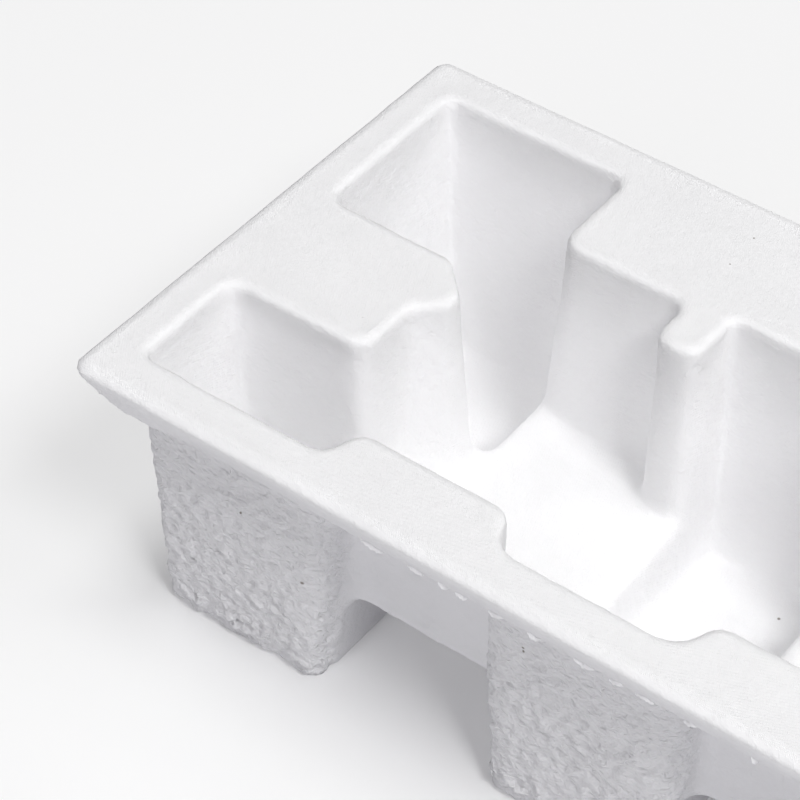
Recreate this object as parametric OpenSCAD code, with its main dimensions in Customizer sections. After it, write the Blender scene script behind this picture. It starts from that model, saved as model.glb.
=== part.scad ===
// Molded pulp insert: one drafted sheet of even thickness with a rolled rim,
// a product nest on two raised shelves and five hollow feet.
// Millimetres, Z up, origin on the table under the middle of the tray.
// Plan sizes of the walls are measured where the walls would meet the top of the rim.

/* [Tray] */
// Length over the turned-down lip
tray_l = 282; // [273:1:300]
// Width over the turned-down lip
tray_w = 151.5; // [146:0.5:165]
// Height from the table to the top of the rim
tray_h = 84.5; // [75:0.5:95]
// Thickness of the pulp sheet
sheet_t = 2.8; // [2:0.1:3]
// Draft of the walls along the tray and round the well, in degrees
draft = 1.1; // [0.5:0.1:2]
// Draft of the walls across the corner pockets and the tongues, in degrees
end_draft = 4.2; // [2.5:0.1:5]

/* [Rim] */
// From the lip's outer edge to the front and back walls
rim_w = 13.5; // [12:0.5:15]
// From the lip's outer edge to the end walls
end_rim_w = 12.5; // [11:0.5:14]
// Radius of the rim's four corners in plan
rim_corner_r = 5; // [5:0.5:12]
// Height of the turned-down lip
lip_h = 7; // [6:0.5:10]
// Lean of the lip, outward to its lower edge
lip_lean = 0.3; // [0.1:0.1:1.2]
// Radius at which the rim rolls over into the lip
lip_roll_r = 3.4; // [1.5:0.1:4]
// From each corner of the tray, along both sides, to where the lip has its full height
lip_rise = 10; // [8:0.5:20]
// Radius at which the top rolls over into the walls
edge_roll_r = 2.4; // [1.5:0.1:3.5]

/* [Nest] */
// Height of the shelves above the table
shelf_h = 27; // [22:0.5:36]
// Fillet where the walls meet the shelves
shelf_fillet_r = 2; // [1.5:0.25:5]
// Radius at which the shelves roll over into the feet
shelf_roll_r = 4; // [3:0.25:5]
// Depth of the ledge along the back
ledge_d = 30.5; // [27:0.5:34]
// How far the middle of the ledge stands back from its ends
ledge_back = 2; // [1:0.5:4]

/* [Ribs of the ledge] */
// Width of each rib
rib_w = 12.5; // [12:0.5:18]
// How far the ribs stand out from the ledge
rib_l = 15.5; // [13:0.5:22]
// Radius of the ribs' ends in plan
rib_r = 5; // [3.5:0.25:5.5]
// Radius of the corners where the ribs leave the middle of the ledge
root_r = 2.5; // [2:0.25:4]

/* [Front steps] */
// Depth of the two steps along the front
step_d = 11; // [8:0.2:14]
// From the middle of the tray to the near side of each step
step_x = 26; // [24.5:0.5:34]
// How far the sides of the steps lean, in plan, either way of the middle
step_lean = 2; // [1:0.25:3]

/* [Tongues] */
// Width of the tongue at each end of the tray
tongue_w = 39.5; // [36:0.5:42]
// How far the tongues reach in from the end walls
tongue_l = 41.5; // [36:0.5:44]
// From the tray's middle line to the tongues' middle line, toward the front
tongue_y = 9.4; // [7:0.2:11]
// How far the nub stands out from the end of each tongue
nub_l = 7; // [6:0.5:9]
// From the back of each tongue to the back of the nub's end
nub_back = 10; // [8:0.25:11]
// Width of the nub's end, before its corners are rounded
nub_w = 4; // [3.5:0.25:6]
// Radius of the nub's corners in plan
nub_r = 4; // [3:0.25:4.5]

/* [Feet] */
// Length of the four corner pockets
pocket_l = 56.5; // [52:0.5:59]
// Depth of the front pockets, front to back
front_pocket_d = 36.8; // [34:0.2:40]
// Depth of the back pockets, front to back
back_pocket_d = 57.5; // [54:0.5:60]
// Width of the well in the middle
well_w = 43.5; // [41:0.5:47]
// Radius of the well's front corners in plan
well_corner_r = 8; // [6:0.5:9]
// Radius inside the soles of the feet
sole_r = 1.5; // [1:0.25:2]

/* [Corners] */
// Radius of the outer corners of the corner pockets in plan
pocket_corner_r = 3.5; // [3:0.25:5]
// Radius of the inward corners of the walls in plan
in_corner_r = 5; // [4.5:0.25:5.5]
// Radius of the outward corners of the walls in plan
out_corner_r = 6; // [4.5:0.25:7]

/* [Hidden] */
// Steps round a corner in plan, and round a roll or a fillet
plan_steps = 4;
bend_steps = 3;
// Smallest radius that a corner shrinks to
least_r = 0.3;
// Overlap that makes cuts and joins clean
lap = 1;
// The edge of a shelf stands this far out of line with the wall above it
shelf_set = 0.3;
// Clearance that keeps two faces in one line from meeting as one
seam = 0.02;
// Wall lines at the top of the rim
end_x = tray_l / 2 - end_rim_w;
front_y = -tray_w / 2 + rim_w;
back_y = tray_w / 2 - rim_w;
pocket_x = end_x - pocket_l;
well_x = well_w / 2;
step_y = front_y + step_d;
ledge_y = back_y - ledge_d;
rib_y = ledge_y - rib_l;
tongue_x = end_x - tongue_l;
nub_x = tongue_x - nub_l;
tongue_front_y = -tongue_y - tongue_w / 2;
tongue_back_y = -tongue_y + tongue_w / 2;
nub_y = tongue_back_y - nub_back;

// Corners of the open nest on the left of the tray: x, y, radius, and draft of the wall that follows
left_corners = [
    [-well_x, ledge_y + ledge_back, root_r, draft],
    [-well_x, rib_y, rib_r, draft],
    [-well_x - rib_w, rib_y, rib_r, draft],
    [-well_x - rib_w, ledge_y, in_corner_r, end_draft],
    [-pocket_x, ledge_y, out_corner_r, end_draft],
    [-pocket_x, back_y, in_corner_r, end_draft],
    [-end_x, back_y, pocket_corner_r, end_draft],
    [-end_x, tongue_back_y, in_corner_r, draft],
    [-nub_x - nub_back, tongue_back_y, out_corner_r, end_draft],
    [-nub_x, nub_y, nub_r, end_draft],
    [-nub_x, nub_y - nub_w, nub_r, end_draft],
    [-tongue_x, nub_y - nub_w - nub_l, in_corner_r, draft],
    [-tongue_x, tongue_front_y, out_corner_r, draft],
    [-end_x, tongue_front_y, in_corner_r, end_draft],
    [-end_x, front_y, pocket_corner_r, draft],
    [-pocket_x - step_lean, front_y, in_corner_r, end_draft],
    [-pocket_x + step_lean, step_y, out_corner_r, draft],
    [-step_x - step_lean, step_y, out_corner_r, draft],
    [-step_x + step_lean, front_y, well_corner_r, draft],
];

// The same corners mirrored to the right, in turning order
function mirrored(c) =
    let (n = len(c))
    [for (i = [n - 1:-1:0]) [-c[i].x, c[i].y, c[i][2], c[(i + n - 1) % n][3]]];
nest_corners = concat(left_corners, mirrored(left_corners));

// Corners of a box in plan, with one draft all round
function box_corners(x0, x1, y0, y1, r, a) = [
    [x0, y0, r, a],
    [x1, y0, r, a],
    [x1, y1, r, a],
    [x0, y1, r, a],
];
rim_corners = box_corners(-tray_l / 2, tray_l / 2, -tray_w / 2, tray_w / 2, rim_corner_r, 0);

// Foot openings in the shelves: the corner pockets reach past the walls that bound them
far = tray_l;
shelf_x = pocket_x - shelf_set;
front_foot_y = front_y + front_pocket_d;
back_foot_y = back_y - back_pocket_d;
front_foot = box_corners(-far, -shelf_x, -far, front_foot_y, in_corner_r, end_draft);
back_foot = box_corners(-far, -shelf_x, back_foot_y, far, in_corner_r, end_draft);
well_foot = box_corners(-well_x - shelf_set, well_x + shelf_set, -far, far, in_corner_r, draft);
feet = [front_foot, back_foot, well_foot, mirrored(front_foot), mirrored(back_foot)];

// A level of a solid is its height, the height at which the draft of its walls is taken,
// and how far the outline moves inward beyond that draft.
// How far a wall with draft a lies inward at a level
function inset(a, level) = (tray_h - level[1]) * tan(a) + level[2];

// One corner q of an outline, between p and s, as points along its arc at a level
function flat(v) = [v.x, v.y];
function unit(v) = v / norm(v);
function arc_corner(p, q, s, level) =
    let (
        u = unit(flat(q) - flat(p)),
        v = unit(flat(s) - flat(q)),
        turn = u.x * v.y - u.y * v.x,
        side = sign(turn),
        before = inset(p[3], level),
        after = inset(q[3], level),
        r = max(q[2] - side * (before + after) / 2, least_r),
        middle = flat(q) + (before * v - after * u + side * r * (v - u)) / turn,
        start = atan2(-side * u.x, side * u.y),
        sweep = atan2(turn, u * v)
    )
    [for (k = [0:plan_steps]) let (a = start + sweep * k / plan_steps) middle + r * [cos(a), sin(a)]];

// All points of an outline at a level
function ring(corners, level) =
    let (n = len(corners))
    [
        for (i = [0:n - 1])
            for (p = arc_corner(corners[(i + n - 1) % n], corners[i], corners[(i + 1) % n], level))
                [p.x, p.y, level[0]]
    ];

// Levels of a fillet of radius r from a floor at height z up into a wall that is grown by t
function fillet_levels(z, r, t) = [
    for (k = [0:bend_steps])
        let (a = 90 * k / bend_steps)
            [z + r * (1 - cos(a)), z + r, r * (1 - sin(a)) - t]
];

// Levels of a roll of radius r from a wall that is grown by t up to a top at height z
function roll_levels(z, r, t) = [
    for (k = [0:bend_steps])
        let (a = 90 * k / bend_steps)
            [z - r * (1 - sin(a)), z - r, -t - r * (1 - cos(a))]
];

// Closed solid through rings of equal length, from the lowest ring to the highest
module loft(corners, levels) {
    rings = [for (level = levels) ring(corners, level)];
    n = len(rings[0]);
    top = (len(rings) - 1) * n;
    sides = [
        for (k = [0:len(rings) - 2])
            for (i = [0:n - 1])
                let (j = (i + 1) % n)
                    [k * n + i, (k + 1) * n + i, (k + 1) * n + j, k * n + j]
    ];
    bottom_cap = [for (i = [0:n - 1]) i];
    top_cap = [for (i = [n - 1:-1:0]) top + i];
    polyhedron([for (r = rings) each r], concat([bottom_cap], sides, [top_cap]), convexity = 12);
}

// Convex block through rings, one hull to each pair of neighbouring levels
module banded_block(corners, levels) {
    for (k = [0:len(levels) - 2]) {
        points = concat(ring(corners, levels[k]), ring(corners, levels[k + 1]));
        hull() polyhedron(points, [[for (i = [0:len(points) - 1]) i]]);
    }
}

// Top plate with its edge rolled over into the lip, on the face t below the top of the sheet
module rim_block(t) {
    r = max(lip_roll_r - t, least_r);
    low = tray_h - lip_h - (t > 0 ? lap : 0);
    roll = [
        for (k = [0:bend_steps])
            let (a = 90 * k / bend_steps)
                [tray_h - t - r * (1 - sin(a)), 0, lip_lean + t + r * (1 - cos(a))]
    ];
    loft(rim_corners, concat([[low, 0, t]], roll));
}

// Wedge below a corner of the tray, at which the lip ends and leaves the bare sheet
module corner_relief() {
    low = tray_h - lip_h;
    slope = (lip_h - sheet_t) / (lip_rise - rim_corner_r * (2 - sqrt(2)));
    ends = [[-lip_rise - lap, lap], [lap, -lip_rise - lap], [lap, lap]];
    rises = [0, 0, (lip_rise + 2 * lap) * slope];
    points = [for (i = [0:2]) for (z = [low - lap, low + rises[i]]) [ends[i].x, ends[i].y, z]];
    hull() polyhedron(points, [[for (i = [0:len(points) - 1]) i]]);
}

module rim() {
    difference() {
        rim_block(0);
        rim_block(sheet_t);
        for (x = [-1, 1], y = [-1, 1])
            scale([x, y, 1]) translate([tray_l / 2, tray_w / 2, 0]) corner_relief();
    }
}

// Solid that fills the hollow under the shelves, open at the mouths of the feet
module shelves(t) {
    z = shelf_h - t;
    fillet_r = shelf_fillet_r + t;
    roll_r = max(shelf_roll_r - t, least_r);
    above = z + fillet_r + lap;
    foot_levels = concat(
        [[-lap, 0, sole_r]],
        fillet_levels(sheet_t - t, sole_r + t, t),
        roll_levels(z, roll_r, t),
        [[above, z - roll_r, -t - roll_r]]
    );
    bowl_levels = concat(fillet_levels(z, fillet_r, t + seam), [[above, above, -t - seam]]);
    difference() {
        translate([-far / 2, -far / 2, -lap]) cube([far, far, z + fillet_r + lap]);
        loft(nest_corners, bowl_levels);
        for (foot = feet) banded_block(foot, foot_levels);
    }
}

// Hollow of the tray, from the soles of the feet up past the rim, on the face t below the top of the sheet
module hollow(t) {
    top = tray_h - t + lap;
    roll = roll_levels(tray_h, edge_roll_r, 0);
    top_levels = t > 0 ? [[top, top, -t]] : concat(roll, [[top, tray_h - edge_roll_r, -edge_roll_r]]);
    difference() {
        loft(nest_corners, concat(fillet_levels(sheet_t - t, sole_r + t, t), top_levels));
        shelves(t);
    }
}

module pulp_tray() {
    color("whitesmoke")
        difference() {
            union() {
                rim();
                hollow(sheet_t);
            }
            hollow(0);
        }
}

pulp_tray();
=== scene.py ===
import itertools
import math

import bmesh
import bpy
import numpy as np
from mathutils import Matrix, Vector
from mathutils.bvhtree import BVHTree


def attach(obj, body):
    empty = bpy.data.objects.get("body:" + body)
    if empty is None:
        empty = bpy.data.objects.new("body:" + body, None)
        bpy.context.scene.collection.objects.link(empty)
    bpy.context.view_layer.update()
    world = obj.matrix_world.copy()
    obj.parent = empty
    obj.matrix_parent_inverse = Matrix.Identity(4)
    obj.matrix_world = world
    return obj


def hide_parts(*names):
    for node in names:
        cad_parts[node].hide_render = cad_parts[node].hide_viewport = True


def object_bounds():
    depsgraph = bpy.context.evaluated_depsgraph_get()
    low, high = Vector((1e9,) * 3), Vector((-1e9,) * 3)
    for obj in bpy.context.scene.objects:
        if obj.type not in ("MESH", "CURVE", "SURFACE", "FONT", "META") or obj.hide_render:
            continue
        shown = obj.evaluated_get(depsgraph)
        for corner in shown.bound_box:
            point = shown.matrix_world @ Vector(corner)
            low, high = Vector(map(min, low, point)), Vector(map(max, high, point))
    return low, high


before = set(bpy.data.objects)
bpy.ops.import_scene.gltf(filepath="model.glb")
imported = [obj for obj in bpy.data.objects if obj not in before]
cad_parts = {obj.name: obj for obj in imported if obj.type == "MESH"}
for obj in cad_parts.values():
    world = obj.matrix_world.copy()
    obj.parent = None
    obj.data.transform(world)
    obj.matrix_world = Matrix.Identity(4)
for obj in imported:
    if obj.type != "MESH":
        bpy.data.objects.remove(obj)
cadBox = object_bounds()
scene = bpy.context.scene
scene.view_settings.view_transform = "Standard"
scene.cycles.diffuse_bounces = 12  # white pulp passes light on many times
mm = 0.001
boxLow, boxHigh = (np.array(c) / mm for c in cadBox)  # the solid's box in millimetres

# molded sheet: net size, softening, and how far the pulp moves, all in millimetres
sheetSet = {
    "net": 0.88,
    "softenTimes": 2,
    "triangles": 192000,
    "fineUpTo": (64, 54),  # up to here the feet keep their fine net
    "rayGap": 0.6,
    "boxSlack": 0.4,  # the pulp stays this near the solid's box
    "faceDeep": (22, 16),  # front and back faces of the feet fade out between these depths from the rim
    "endDeep": (20, 15),  # and the faces at the ends
    "feetUnder": (8, 14),  # and below the top
    "edgeTimes": 3,  # width of the crisp rolled edges at the top
    "edgeCrisp": 3.5,
    "edgeDeep": (9, 6),  # they fade out between these depths under the top
    "unevenSize": 6,
    "roundTimes": 20,  # rounder hollows on the screen side
    "roundUnder": 14,  # from here down
    "soleTimes": 75,  # and rounder still where the walls meet the soles
    "soleUpTo": 12,
    "roundFade": 6,
    "seed": 41,
    "driftSize": 9,  # slow bends in the wrinkles
    "driftBy": (1.5, 1.5, 2.2),
    "wrinkle": 2.4,  # fibre wrinkles on the outside of the feet
    "wrinkleSize": (3.2, 3.2, 2.1),
    "ridge": 1.6,  # sharper ridges among them
    "ridgeSize": (4.4, 4.4, 2.6),
    "rise": 5,  # they rise beside the corners
    "slope": 0.18,
    "patchSize": 7,
    "calmUp": (38, 66),  # and are calmer higher up
    "hemFold": 1.2,  # folds along the soles, at these heights
    "hemAt": (2.4, 6.0),
    "hemWide": 0.7,
    "hemUpTo": (11, 8),
    "rippleSize": 3.5,  # the folds waver, and are broken here and there
    "brokenSize": (9, 9, 30),
    "archFold": 0.45,  # folds along the arches of the tunnels
    "archAt": (27.5, 30.0, 33.5),
    "archWide": 0.6,
    "archFrom": (23.5, 25.5),
    "archUpTo": (37, 35),
    "streak": 0.2,  # faint streaks on the rest of the outside
    "streakSize": (9, 9, 1.9),
    "insideSwell": 0.12,  # slow waves on the screen side
    "swellSize": 9,
    "edgeRuck": 0.5,  # creases where the top rolls into the walls
    "ruckSize": (4.5, 4.5, 1.1),
    "ruckSome": 19,  # only on some stretches
    "ruckInside": 6,  # and not at the outer rim
    "ruckDeep": (5, 3),
    "lipWide": 4.5,
    "lipDeep": (3, 6.5),  # under the top
    "lipDroop": 2.0,  # the lip hangs lower beside the corners
    "droopFrom": (9, 15),
    "droopTo": (42, 20),
    "lipTuck": 1.7,  # its lower edge is tucked in
    "tuckFrom": 2,
    "tuckOver": 5,
    "lipRag": 0.6,  # ragged lower edge of the lip
    "ragDeep": (5.2, 6.4),
    "ragSize": (3.1, 1.3),
    "alongFeet": (23, 71, 127),  # upright corners of the feet, along the tray
    "acrossFeet": (-63, -28, 9, 63),  # and across it
    "cornerReach": 5,
}


def smoothStep(low, high, values):
    t = np.clip((values - low) / (high - low), 0, 1)
    return t * t * (3 - 2 * t)


def noiseTable(seed):
    rng = np.random.default_rng(seed)
    slopes = rng.normal(size=(256, 3))
    return rng.permutation(256), slopes / np.linalg.norm(slopes, axis=1)[:, None]


def cloud(points, table):  # soft 3-D noise, about -0.7 to 0.7
    order, slopes = table
    cell = np.floor(points).astype(int)
    part = points - cell
    ease = part * part * part * (part * (part * 6 - 15) + 10)
    total = np.zeros(len(points))
    for corner in itertools.product((0, 1), repeat=3):
        c = (cell + corner) & 255
        pick = order[(order[(order[c[:, 0]] + c[:, 1]) & 255] + c[:, 2]) & 255]
        share = np.prod(np.where(corner, ease, 1 - ease), axis=1)
        total += share * ((part - corner) * slopes[pick]).sum(1)
    return total


def meshArrays(mesh):
    n = len(mesh.vertices)
    co = np.empty(n * 3, np.float32)
    mesh.vertices.foreach_get("co", co)
    nrm = np.empty(n * 3, np.float32)
    mesh.vertex_normals.foreach_get("vector", nrm)
    edges = np.empty(len(mesh.edges) * 2, np.int32)
    mesh.edges.foreach_get("vertices", edges)
    return co.reshape(-1, 3).astype(float), nrm.reshape(-1, 3).astype(float), edges.reshape(-1, 2)


def setPoints(mesh, co):
    mesh.vertices.foreach_set("co", co.astype(np.float32).ravel())
    mesh.update()


def spread(values, edges, times, share=0.5):  # averages over neighbours
    n = len(values)
    one, two = edges.T
    count = np.bincount(edges.ravel(), minlength=n).clip(1)
    for k in range(times):
        near = np.bincount(one, values[two], n) + np.bincount(two, values[one], n)
        values = (1 - share) * values + share * near / count
    return values


def skySide(co, nrm, edges, tree):  # 1 where the sheet is open upward, the side that lay on the screen
    up = Vector((0, 0, 1))
    start = co + nrm * sheetSet["rayGap"] * mm
    sky = np.array([tree.ray_cast(Vector(p), up)[0] is None for p in start], float)
    return spread(sky, edges, 3)


def fade(edge, depths, values):  # 0 to 1 between two depths from an edge
    return smoothStep(edge - depths[0], edge - depths[1], values)


def sheetZones(mesh, tree):
    s = sheetSet
    co, nrm, edges = meshArrays(mesh)
    x, y, z = (co / mm).T
    sky = skySide(co, nrm, edges, tree)
    wall = smoothStep(0.75, 0.35, np.abs(nrm[:, 2]))
    face = np.maximum.reduce([  # outer faces of the feet, not the recesses between them
        smoothStep(boxLow[1] + s["faceDeep"][0], boxLow[1] + s["faceDeep"][1], y),
        fade(boxHigh[1], s["faceDeep"], y),
        fade(boxHigh[0], s["endDeep"], np.abs(x)),
    ])
    feet = (1 - sky) * wall * face * fade(boxHigh[2], s["feetUnder"], z)
    return {"points": co / mm, "normals": nrm, "edges": edges, "sky": sky, "face": face, "feet": feet}


def bake(obj):  # modifiers into the mesh
    graph = bpy.context.evaluated_depsgraph_get()
    done = bpy.data.meshes.new_from_object(obj.evaluated_get(graph))
    old = obj.data
    obj.modifiers.clear()
    obj.data = done
    bpy.data.meshes.remove(old)


def fineNet(solid):
    tray = bpy.data.objects.new("pulpSheet", solid.copy())
    scene.collection.objects.link(tray)
    remesh = tray.modifiers.new("net", "REMESH")
    remesh.mode = "VOXEL"
    remesh.voxel_size = sheetSet["net"] * mm
    soften = tray.modifiers.new("soften", "SMOOTH")
    soften.factor = 0.5
    soften.iterations = sheetSet["softenTimes"]
    bake(tray)
    print("net", len(tray.data.vertices), "points")
    return tray


def softCopy(p, edges, times):
    return np.stack([spread(p[:, k], edges, times) for k in range(3)], 1)


def shapeEdges(tray, tree):  # crisp rolled edges at the top, no sharp inside corners below
    s = sheetSet
    top = boxHigh[2]
    zones = sheetZones(tray.data, tree)
    p, nrm, edges, sky = (zones[k] for k in ("points", "normals", "edges", "sky"))
    table = noiseTable(s["seed"] + 20)
    bulge = ((p - softCopy(p, edges, s["edgeTimes"])) * nrm).sum(1).clip(0)
    uneven = 0.9 + 0.4 * cloud(p / s["unevenSize"], table)
    lift = s["edgeCrisp"] * sky * fade(top, s["edgeDeep"], p[:, 2]) * bulge * uneven
    p = p + nrm * lift[:, None]
    for times, upTo in ((s["roundTimes"], top - s["roundUnder"]), (s["soleTimes"], s["soleUpTo"])):
        share = spread(sky * smoothStep(upTo + s["roundFade"], upTo, p[:, 2]), edges, 6)
        p = p + (softCopy(p, edges, times) - p) * share[:, None]
    setPoints(tray.data, p * mm)
    print("edges and hollows shaped")


def footCorners(p, nrm):  # 1 at the upright corners of the feet
    along = np.min(np.abs(np.abs(p[:, :1]) - sheetSet["alongFeet"]), axis=1)
    across = np.min(np.abs(p[:, 1:2] - sheetSet["acrossFeet"]), axis=1)
    nearest = np.where(np.abs(nrm[:, 0]) > np.abs(nrm[:, 1]), across, along)
    return np.exp(-nearest / sheetSet["cornerReach"])


def folds(z, heights, ripple, wide):  # wavering folds at these heights
    return sum(np.exp(-(((z - at - ripple) / wide) ** 2)) for at in heights)


def pulpMoves(tray, tree):
    s = sheetSet
    high = boxHigh
    zones = sheetZones(tray.data, tree)
    p, nrm, sky, face, feet = (zones[k] for k in ("points", "normals", "sky", "face", "feet"))
    under = 1 - sky
    x, y, z = p.T
    table = [noiseTable(s["seed"] + k) for k in range(8)]  # numbers added to a place only shift its noise

    # fibre wrinkles on the feet: a little longer than high, rising beside the corners, calmer near the top
    corner = footCorners(p, nrm)
    drift = np.stack([cloud(p / s["driftSize"] + k, table[k]) for k in range(3)], 1)
    flow = p + drift * s["driftBy"]
    flow[:, 2] -= s["rise"] * corner + s["slope"] * (flow[:, 0] - flow[:, 1])
    body = cloud(flow / s["wrinkleSize"], table[3])
    ridge = 0.25 - np.abs(cloud(flow / s["ridgeSize"] + 3.3, table[4]))
    patch = 0.45 + 0.55 * smoothStep(-0.4, 0.4, cloud(p / s["patchSize"] + 2.7, table[5]))
    climb = 1 - 0.6 * smoothStep(*s["calmUp"], z)
    strength = feet * climb * patch * (1 - 0.35 * corner) * (0.4 + 0.6 * smoothStep(0, 5, z))
    move = strength * (s["wrinkle"] * body + s["ridge"] * ridge)

    # broken folds along the soles and along the arches of the tunnels
    ripple = 2.4 * drift[:, 2] + 0.9 * cloud(p / s["rippleSize"] + 4.4, table[6])
    broken = smoothStep(-0.25, 0.15, cloud(p / s["brokenSize"] + 8.1, table[7]))
    hem = folds(z, s["hemAt"], ripple, s["hemWide"])
    move += under * face * smoothStep(*s["hemUpTo"], z) * s["hemFold"] * hem * broken
    arch = folds(z, s["archAt"], 0.4 * ripple, s["archWide"])
    recess = under * (1 - face) * smoothStep(0.3, 0.7, np.abs(nrm[:, 1]))
    archZone = recess * smoothStep(*s["archFrom"], z) * smoothStep(*s["archUpTo"], z)
    move += archZone * s["archFold"] * arch * broken

    # faint streaks on the rest of the outside
    streak = cloud(flow / s["streakSize"] + 1.3, table[6])
    move += under * (1 - feet) * s["streak"] * streak

    # screen side: slow waves, and creases along some of the rolled edges
    move += sky * s["insideSwell"] * cloud(p / s["swellSize"], table[7])
    fromEnd, fromSide = high[0] - np.abs(x), high[1] - np.abs(y)
    rimGap = np.minimum(fromEnd, fromSide)
    roll = sky * (rimGap > s["ruckInside"]) * smoothStep(0.99, 0.9, nrm[:, 2])
    roll = roll * fade(high[2], s["ruckDeep"], z)
    some = smoothStep(0.0, 0.25, cloud(p / s["ruckSome"] + 5.5, table[2]))
    move += roll * some * s["edgeRuck"] * cloud(p / s["ruckSize"] + 2 * drift, table[1])
    moved = p + nrm * move[:, None]

    # lip: hangs lower beside the corners, with a ragged lower edge that is tucked in
    rim = rimGap < s["lipWide"]
    lip = rim * fade(high[2], s["lipDeep"], z)
    fromCorner = 2 * rimGap + np.abs(fromEnd - fromSide)
    droop = smoothStep(*s["droopFrom"], fromCorner) * smoothStep(*s["droopTo"], fromCorner)
    lipEdge = rim * fade(high[2], s["ragDeep"], z)
    run = p * [1, 1, 0]
    rag = cloud(run / s["ragSize"][0], table[3]) + 0.6 * cloud(run / s["ragSize"][1], table[4])
    moved[:, 2] += lipEdge * s["lipRag"] * rag - lip * s["lipDroop"] * droop
    tuck = rim * np.clip((high[2] - s["tuckFrom"] - z) / s["tuckOver"], 0, 1) * s["lipTuck"]
    endLip = fromEnd < fromSide
    moved[:, 0] -= tuck * endLip * np.sign(x)
    moved[:, 1] -= tuck * ~endLip * np.sign(y)
    moved = np.clip(moved, boxLow - s["boxSlack"], high + s["boxSlack"])
    moved[:, 2] = np.maximum(moved[:, 2], boxLow[2])
    setPoints(tray.data, moved * mm)
    print("pulp moved by", round(float(np.abs(move).max()), 2), "mm at most")
    return np.maximum.reduce([feet * smoothStep(*s["fineUpTo"], z), lipEdge, roll, archZone])  # fine net here


def thinNet(tray, keep):  # fewer triangles where the sheet is calm
    tray.data.calc_loop_triangles()
    now = len(tray.data.loop_triangles)
    calm = tray.vertex_groups.new(name="calm")
    weights = 1 - np.round(smoothStep(0.1, 0.4, keep), 1)
    print("net keeps", round(100 * float(1 - weights.mean())), "percent whole")
    for w in np.unique(weights):
        calm.add(np.flatnonzero(weights == w).tolist(), float(w), "REPLACE")
    thin = tray.modifiers.new("thin", "DECIMATE")
    thin.ratio = min(1.0, sheetSet["triangles"] / now)
    thin.vertex_group = "calm"
    bake(tray)
    tray.vertex_groups.clear()
    print("net thinned from", now, "triangles to", len(tray.data.polygons), "faces")


# torn fibre along the lip's lower edge, in millimetres: place and length along the front, the rest scattered
flakeSet = {
    "front": [(-49.8, 6.5), (-37.4, 4.5), (-29.6, 3.0), (-24.8, 3.2), (-15.2, 4.2), (-4.8, 3.5),
              (8.6, 5.8), (16.9, 3.5), (24.2, 5.0), (36.0, 3.2), (52.2, 2.0), (88.0, 4.0), (103.0, 2.6)],
    "perSide": 11,
    "sideReach": (120, 55, 55),  # back, left and right
    "lengths": (2, 6),
    "near": 1.2,  # the lip's lower edge is looked for this near
    "deep": 12,
    "wide": 1.0,
    "thick": 0.22,
    "step": 0.35,
    "stand": 0.5,  # how far a flake stands out of the tucked edge
    "lift": 0.35,
    "sag": 0.25,
    "seed": 7,
}


def flakeStrip(spot, along, out, foot, at, length, rng):  # a thin wavy strip, four points to a ring
    f = flakeSet
    n = int(length / f["step"]) + 3
    waver = rng.uniform(0.6, 1.2, n)
    points = []
    for k in range(n):
        q = k / (n - 1)
        w = f["wide"] * (0.12 + math.sin(math.pi * q) ** 0.7) * waver[k]
        t = f["thick"] * (0.4 + math.sin(math.pi * q))
        middle = spot + along * (q - 0.5) * length
        sag = f["sag"] * math.sin(5 * q + at)
        drop = 0.45 * w
        back = -f["stand"]
        ring = ((back, drop), (drop, -drop), (drop - t, -drop - 0.5 * t), (back - t, drop - 0.1 * w))
        points += [(*(middle + out * away), foot + f["lift"] + up + sag) for away, up in ring]
    return points


def stripFaces(first, rings):  # sides and the two ends of a strip
    faces = []
    for k in range(rings - 1):
        a = first + 4 * k
        faces += [(a + i, a + (i + 1) % 4, a + 4 + (i + 1) % 4, a + 4 + i) for i in range(4)]
    last = first + 4 * (rings - 1)
    return faces + [tuple(first + i for i in (3, 2, 1, 0)), tuple(last + i for i in range(4))]


def lipFlakes(tray):
    f = flakeSet
    p = meshArrays(tray.data)[0] / mm
    p = p[p[:, 2] > boxHigh[2] - f["deep"]]
    rng = np.random.default_rng(f["seed"])
    spots = [(0, at, length) for at, length in f["front"]]
    for side, reach in enumerate(f["sideReach"], 1):
        spots += [(side, at, rng.uniform(*f["lengths"])) for at in rng.uniform(-reach, reach, f["perSide"])]
    sides = [((1, 0), (0, boxLow[1])), ((1, 0), (0, boxHigh[1])),  # the way along and the middle of each edge
             ((0, 1), (boxLow[0], 0)), ((0, 1), (boxHigh[0], 0))]
    points, faces, made = [], [], 0
    for side, at, length in spots:
        along, edge = (np.array(c) for c in sides[side])
        out = edge / np.linalg.norm(edge)
        spot = edge + along * at - out * (sheetSet["lipTuck"] - f["stand"])
        near = np.abs((p[:, :2] - spot) @ along) < f["near"]
        near &= np.abs((p[:, :2] - spot) @ out) < f["near"]
        if not near.any():
            continue
        strip = flakeStrip(spot, along, out, p[near, 2].min(), at, length, rng)
        faces += stripFaces(len(points), len(strip) // 4)
        points += strip
        made += 1
    mesh = bpy.data.meshes.new("lipFlakes")
    mesh.from_pydata([tuple(c * mm for c in v) for v in points], [], faces)
    both = bmesh.new()
    both.from_mesh(tray.data)
    both.from_mesh(mesh)
    bmesh.ops.recalc_face_normals(both, faces=both.faces[-len(faces):])
    both.to_mesh(tray.data)
    both.free()
    bpy.data.meshes.remove(mesh)
    print("lip has", made, "flakes of torn fibre")
    return len(faces)


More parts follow.
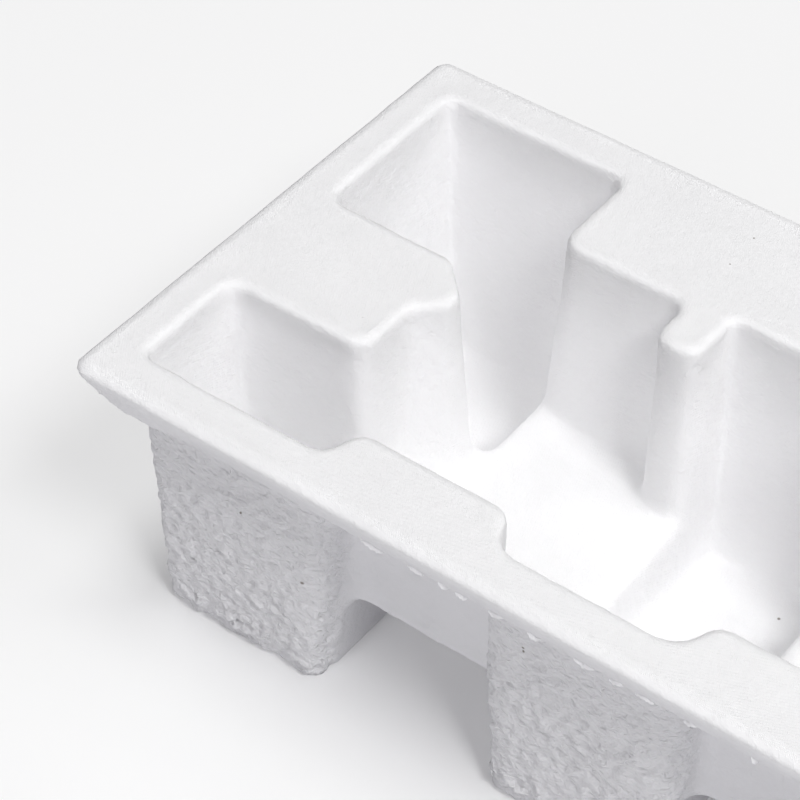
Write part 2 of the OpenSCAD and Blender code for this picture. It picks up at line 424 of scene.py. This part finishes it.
# pulp finish: sizes in millimetres
finishSet = {
    # inside is the pulp's own white; the outside colour is painted shade, the same white pulp coloured darker
    # and lilac for the shade the outer walls lie in
    "inside": (0.965, 0.963, 0.968, 1),
    "outsidePaintedShade": (0.885, 0.882, 0.895, 1),
    "shade": 0.97,  # the cloudy tone beside the plain one
    "cloudScale": 60.0,
    "fleck": (0.30, 0.27, 0.24, 1),
    "fleckScale": 75.0,
    "fleckSize": 0.032,
    "fleckRare": 0.90,  # share of the cells that have none
    "fibre": 0.45,
    "fibreDepth": 0.05,
    "screen": 0.57,
    "screenDepth": 0.04,
    "dimple": 3.0,
    "dimpleDepth": 0.15,  # on the walls, the flat tops have less
    "footGrain": 1.1,
    "footGrainDepth": 0.36,
    "rough": (0.82, 0.97),
    "shine": 0.25,
    "specks": [  # place and size of the dark bits in the pulp
        ((6.4, 23.3, 2.8), 0.55), ((-16.5, 27.3, 2.8), 0.3),
        ((-33.7, 62.0, 84.5), 0.35), ((-33.2, 50.0, 84.5), 0.3),
        ((-98.0, -64.4, 49.8), 0.45), ((-79.6, -64.1, 36.4), 0.7),
        ((-14.1, -64.5, 58.6), 0.5), ((-14.0, -64.5, 57.4), 0.45),
    ],
}


def node(tree, kind, inputs=None, **props):
    made = tree.nodes.new(kind)
    for key, value in props.items():
        setattr(made, key, value)
    for key, value in (inputs or {}).items():
        if isinstance(value, bpy.types.NodeSocket):
            tree.links.new(value, made.inputs[key])
        else:
            made.inputs[key].default_value = value
    return made


def math2(tree, operation, a, b=0.0):
    return node(tree, "ShaderNodeMath", {0: a, 1: b}, operation=operation).outputs[0]


def mixColour(tree, share, a, b):
    mix = node(tree, "ShaderNodeMix", {"Factor": share}, data_type="RGBA")
    for socket, value in zip([i for i in mix.inputs if i.type == "RGBA"], (a, b)):
        if isinstance(value, bpy.types.NodeSocket):
            tree.links.new(value, socket)
        else:
            socket.default_value = value
    return next(o for o in mix.outputs if o.type == "RGBA")


def ramp(tree, value, start=(0.0, 1.0), end=(0.0, 1.0), kind="LINEAR"):
    made = node(tree, "ShaderNodeMapRange", {"Value": value, "From Min": start[0], "From Max": start[1],
                                             "To Min": end[0], "To Max": end[1]}, interpolation_type=kind)
    return made.outputs["Result"]


def noise(tree, place, scale, detail, bend=0.0):
    inputs = {"Vector": place, "Scale": scale, "Detail": detail, "Distortion": bend}
    return node(tree, "ShaderNodeTexNoise", inputs).outputs["Fac"]


def relief(tree, height, depth, under=None, strength=0.8):  # one bump upon another
    made = node(tree, "ShaderNodeBump", {"Height": height, "Distance": depth * mm, "Strength": strength})
    if under is not None:
        tree.links.new(under, made.inputs["Normal"])
    return made.outputs["Normal"]


def pulpColour(t, place, screenSide):  # slow cloudiness, rare dark flecks, the few larger specks, and painted shade on the side away from the screen
    f = finishSet
    cell = node(t, "ShaderNodeTexVoronoi", {"Vector": place, "Scale": f["fleckScale"]})
    chance = node(t, "ShaderNodeSeparateColor", {"Color": cell.outputs["Color"]}).outputs["Red"]
    near = math2(t, "LESS_THAN", cell.outputs["Distance"], f["fleckSize"])
    dark = math2(t, "MULTIPLY", near, math2(t, "GREATER_THAN", chance, f["fleckRare"]))
    for spot, size in f["specks"]:
        gap = node(t, "ShaderNodeVectorMath", {0: place, 1: [c * mm for c in spot]}, operation="DISTANCE")
        blot = ramp(t, gap.outputs["Value"], (0.4 * size * mm, size * mm), (1.0, 0.0))
        dark = math2(t, "MAXIMUM", dark, blot)
    level = ramp(t, noise(t, place, f["cloudScale"], 4.0), (0.3, 0.7), (f["shade"], 1.0))
    # painted shade: the side away from the screen takes the darker, lilac outside colour in place of the
    # shade on the outer walls
    sidesWithPaintedShade = mixColour(t, screenSide, f["outsidePaintedShade"], f["inside"])
    pulp = node(t, "ShaderNodeVectorMath", {0: sidesWithPaintedShade, "Scale": level}, operation="SCALE").outputs["Vector"]
    return mixColour(t, dark, pulp, f["fleck"])


def screenWeave(t, place, slant, screenSide):  # a weave of wires on the flat of each wall
    apart = node(t, "ShaderNodeSeparateXYZ", {"Vector": place})
    turns = 2000 * math.pi / finishSet["screen"]
    wires = [math2(t, "SINE", math2(t, "MULTIPLY", apart.outputs[k], turns)) for k in range(3)]
    weave = 0.0
    for k in range(3):
        crossing = math2(t, "MULTIPLY", wires[(k + 1) % 3], wires[(k + 2) % 3])
        flat = ramp(t, slant[k], (0.7, 0.95))
        weave = math2(t, "ADD", math2(t, "MULTIPLY", crossing, flat), weave)
    return math2(t, "MULTIPLY", weave, screenSide)


def pulpFinish():
    f = finishSet
    mat = bpy.data.materials.new("pulpFibre")
    mat.use_nodes = True
    t = mat.node_tree
    shader = t.nodes["Principled BSDF"]
    place = node(t, "ShaderNodeTexCoord").outputs["Object"]
    screenSide = node(t, "ShaderNodeAttribute", attribute_name="screenSide").outputs["Fac"]
    footSide = node(t, "ShaderNodeAttribute", attribute_name="footSide").outputs["Fac"]
    t.links.new(pulpColour(t, place, screenSide), shader.inputs["Base Color"])

    # screen, low dimples and fibre all over, and a coarser grain on the outside of the feet
    facing = node(t, "ShaderNodeSeparateXYZ", {"Vector": node(t, "ShaderNodeNewGeometry").outputs["Normal"]})
    slant = [math2(t, "ABSOLUTE", facing.outputs[k]) for k in range(3)]
    normal = relief(t, screenWeave(t, place, slant, screenSide), f["screenDepth"], strength=1.0)
    steep = math2(t, "SUBTRACT", 1.0, math2(t, "MULTIPLY", slant[2], 0.7))
    dimple = math2(t, "MULTIPLY", noise(t, place, 1000 / f["dimple"], 2.0, 0.2), steep)
    normal = relief(t, dimple, 4 * f["dimpleDepth"], normal)
    fibre = noise(t, place, 500 / f["fibre"], 3.0, 1.2)
    normal = relief(t, fibre, 4 * f["fibreDepth"], normal)
    high = node(t, "ShaderNodeMapping", {"Vector": place, "Scale": (1.0, 1.0, 1.5)}).outputs["Vector"]
    grain = math2(t, "MULTIPLY", noise(t, high, 500 / f["footGrain"], 2.0, 0.6), footSide)
    normal = relief(t, grain, 4 * f["footGrainDepth"], normal)
    t.links.new(normal, shader.inputs["Normal"])
    t.links.new(ramp(t, fibre, end=f["rough"]), shader.inputs["Roughness"])
    shader.inputs["Specular IOR Level"].default_value = f["shine"]
    return mat


def pulpTray():
    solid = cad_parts["pulp_tray"].data
    solid.calc_loop_triangles()
    points = [v.co.copy() for v in solid.vertices]
    tree = BVHTree.FromPolygons(points, [tuple(k.vertices) for k in solid.loop_triangles])
    tray = fineNet(solid)
    shapeEdges(tray, tree)
    thinNet(tray, pulpMoves(tray, tree))
    torn = lipFlakes(tray)
    count = len(tray.data.polygons)
    tray.data.polygons.foreach_set("use_smooth", np.arange(count) < count - torn)  # torn fibre stays sharp
    zones = sheetZones(tray.data, tree)
    # screenSide carries the screen weave and also places the painted shade of the outside colour
    for name, values in (("screenSide", zones["sky"]), ("footSide", zones["feet"])):
        side = tray.data.attributes.new(name, "FLOAT", "POINT")
        side.data.foreach_set("value", values.astype(np.float32))
    tray.data.materials.clear()
    tray.data.materials.append(pulpFinish())
    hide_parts("pulp_tray")
    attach(tray, "root")
    tray.data.calc_loop_triangles()
    print("pulp tray ready with", len(tray.data.loop_triangles), "triangles")


# studio: pale floor, soft lamps above and on all sides, the strongest on the right, pale surround
studioSet = {
    "floorHalf": 3.0,
    "floor": (0.98, 0.98, 0.98, 1),
    "floorBounce": (0.85, 0.85, 0.86, 1),
    "glow": (0.95, 0.95, 0.95, 1),
    "glowBy": (128, 65),  # half size of the feet's outline in millimetres
    "glowShare": (0.12, 0.60),  # how far the seen floor is white of its own, at the feet and away
    "glowWidth": (-5, 30),
    "lamps": {  # place, size, power, colour
        "right": ((1.5, -0.65, 2.4), 0.8, 41.0, (1, 1, 1)),
        "backRight": ((1.9, 0.7, 2.7), 1.4, 27.0, (1, 1, 1)),
        "overhead": ((0.0, 0.1, 3.2), 1.0, 14.0, (1, 1, 1)),
        "left": ((-1.9, 0.7, 2.7), 1.4, 12.0, (1, 1, 1)),
        "front": ((0.3, -2.4, 1.8), 1.8, 19.0, (1, 0.985, 1.03)),
    },
    "surround": (0.97, 0.95, 1.0, 1),
    "surroundLight": 0.03,
    "surroundSeen": 0.93,
}


def floorPaper():
    s = studioSet
    paper = bpy.data.materials.new("floorPaper")
    paper.use_nodes = True
    t = paper.node_tree
    t.nodes.clear()
    rays = node(t, "ShaderNodeLightPath").outputs["Is Camera Ray"]
    seen = node(t, "ShaderNodeBsdfDiffuse", {"Color": s["floor"]}).outputs[0]
    bounce = node(t, "ShaderNodeBsdfDiffuse", {"Color": s["floorBounce"]}).outputs[0]
    glow = node(t, "ShaderNodeEmission", {"Color": s["glow"], "Strength": 1.0}).outputs[0]
    spot = node(t, "ShaderNodeSeparateXYZ", {"Vector": node(t, "ShaderNodeTexCoord").outputs["Object"]})
    gaps = [math2(t, "SUBTRACT", math2(t, "ABSOLUTE", spot.outputs[k]), s["glowBy"][k] * mm) for k in (0, 1)]
    away = math2(t, "MAXIMUM", *gaps)
    share = ramp(t, away, [w * mm for w in s["glowWidth"]], s["glowShare"], "SMOOTHSTEP")
    lit = node(t, "ShaderNodeMixShader", {0: share, 1: seen, 2: glow}).outputs[0]
    done = node(t, "ShaderNodeMixShader", {0: rays, 1: bounce, 2: lit}).outputs[0]
    node(t, "ShaderNodeOutputMaterial", {"Surface": done})
    return paper


def studio():
    s = studioSet
    half = s["floorHalf"]
    mesh = bpy.data.meshes.new("floor")
    corners = [(-half, -half, 0), (half, -half, 0), (half, half, 0), (-half, half, 0)]
    mesh.from_pydata(corners, [], [(0, 1, 2, 3)])
    floor = bpy.data.objects.new("floor", mesh)
    scene.collection.objects.link(floor)
    mesh.materials.append(floorPaper())

    for name, (place, size, power, colour) in s["lamps"].items():
        lamp = bpy.data.lights.new(name, "AREA")
        lamp.shape = "SQUARE"
        lamp.size = size
        lamp.energy = power
        lamp.color = colour
        box = bpy.data.objects.new(name, lamp)
        box.location = place
        box.rotation_euler = (-box.location).to_track_quat("-Z", "Y").to_euler()
        scene.collection.objects.link(box)

    world = bpy.data.worlds.new("surround")
    world.use_nodes = True
    scene.world = world
    t = world.node_tree
    back = t.nodes["Background"]
    back.inputs["Color"].default_value = s["surround"]
    rays = node(t, "ShaderNodeLightPath")
    seen = math2(t, "MAXIMUM", rays.outputs["Is Camera Ray"], rays.outputs["Is Glossy Ray"])
    seen = math2(t, "MAXIMUM", seen, rays.outputs["Is Transmission Ray"])
    level = ramp(t, seen, end=(s["surroundLight"], s["surroundSeen"]))
    t.links.new(level, back.inputs["Strength"])
    print("studio ready")


# camera: the photograph's angle, frame 800 by 800
cameraSet = {
    "place": (0.21329, -0.41160, 0.54054),
    "turn": (45.77, 0.0, 37.11),
    "lens": 124.785,
    "sensor": 36,
    "nearClip": 0.01,
}


def camera():
    c = cameraSet
    data = bpy.data.cameras.new("camera")
    data.sensor_width = c["sensor"]
    data.lens = c["lens"]
    data.clip_start = c["nearClip"]
    cam = bpy.data.objects.new("camera", data)
    cam.location = c["place"]
    cam.rotation_euler = [math.radians(a) for a in c["turn"]]
    scene.collection.objects.link(cam)
    scene.camera = cam
    print("camera ready")


camera()
studio()
pulpTray()
